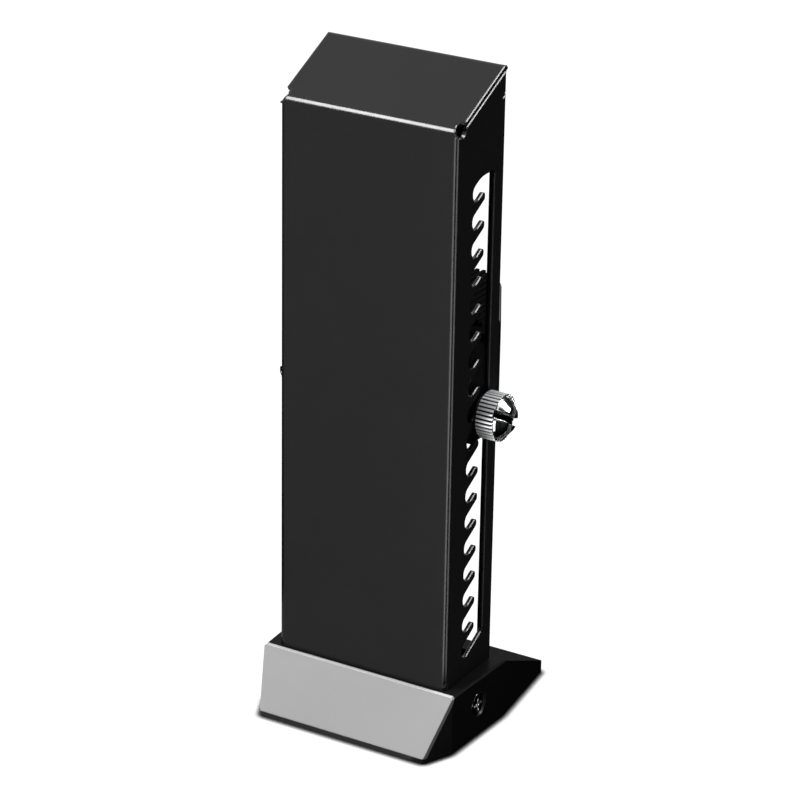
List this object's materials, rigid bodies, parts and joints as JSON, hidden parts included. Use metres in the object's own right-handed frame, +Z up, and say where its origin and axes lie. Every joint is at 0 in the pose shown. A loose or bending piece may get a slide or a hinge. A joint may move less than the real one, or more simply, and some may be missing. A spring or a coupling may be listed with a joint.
{
  "type": "graphics card support bracket",
  "caption": "Folded steel tower on a wedge foot with a slanted light window; a padded arm in its hooked side slots, clamped by thumbscrews, props up a graphics card.",
  "frame": {"origin": "centre of the foot's underside, on the rubber sole", "axes": "+Z up along the tower, -Y out of the front with the window, +X to the right seen from the front"},
  "size_m": [0.0836, 0.0869, 0.2232],
  "materials": {
    "painted_steel": "satin black powder coat",
    "moulded_black": "fine moulded texture",
    "frosted_window": "frosted",
    "circuit_board": "white solder mask",
    "lamp_package": "clear resin",
    "dark_screw": "black zinc",
    "nickel_magnet": "nickel plate",
    "rubber": "matt",
    "zinc_steel": "zinc plate",
    "black_nylon": "matt",
    "bright_nickel": "bright nickel plate"
  },
  "bodies": {
    "stand": {"tower_shell": "painted_steel", "base_housing": "moulded_black", "light_window": "frosted_window", "lamp_board": "circuit_board", "lamps": "lamp_package", "base_cover": "moulded_black", "cover_screws": "dark_screw", "base_magnets": "nickel_magnet", "rubber_sole": "rubber", "cable_grommet": "rubber", "side_screw_left": "dark_screw", "side_screw_right": "dark_screw"},
    "arm": {"support_arm": "painted_steel", "arm_pad": "rubber", "weld_nut_left": "zinc_steel", "weld_nut_right": "zinc_steel"},
    "washer_left": {"washer_left": "black_nylon"},
    "washer_right": {"washer_right": "black_nylon"},
    "thumbscrew_left": {"thumbscrew_left": "bright_nickel"},
    "thumbscrew_right": {"thumbscrew_right": "bright_nickel"}
  },
  "joints": [
    {"name": "arm_height", "type": "slide", "parent": "stand", "child": "arm", "axis": [0, 0, 1], "range_m": [-0.075, 0.077]},
    {"name": "clamp_travel_left", "type": "slide", "parent": "arm", "child": "washer_left", "axis": [-1, 0, 0], "range_m": [0, 0.0024]},
    {"name": "clamp_turn_left", "type": "hinge", "parent": "washer_left", "child": "thumbscrew_left", "pos_m": [-0.0365, -0.00495, 0.111], "axis": [-1, 0, 0], "range_deg": [0, 1080]},
    {"name": "clamp_travel_right", "type": "slide", "parent": "arm", "child": "washer_right", "axis": [1, 0, 0], "range_m": [0, 0.0024]},
    {"name": "clamp_turn_right", "type": "hinge", "parent": "washer_right", "child": "thumbscrew_right", "pos_m": [0.0365, -0.00495, 0.111], "axis": [1, 0, 0], "range_deg": [0, 1080]}
  ],
  "couplings": [
    {"joint": "clamp_travel_left", "follows": "clamp_turn_left", "m_per_rad": 0.00012732},
    {"joint": "clamp_travel_right", "follows": "clamp_turn_right", "m_per_rad": 0.00012732}
  ]
}
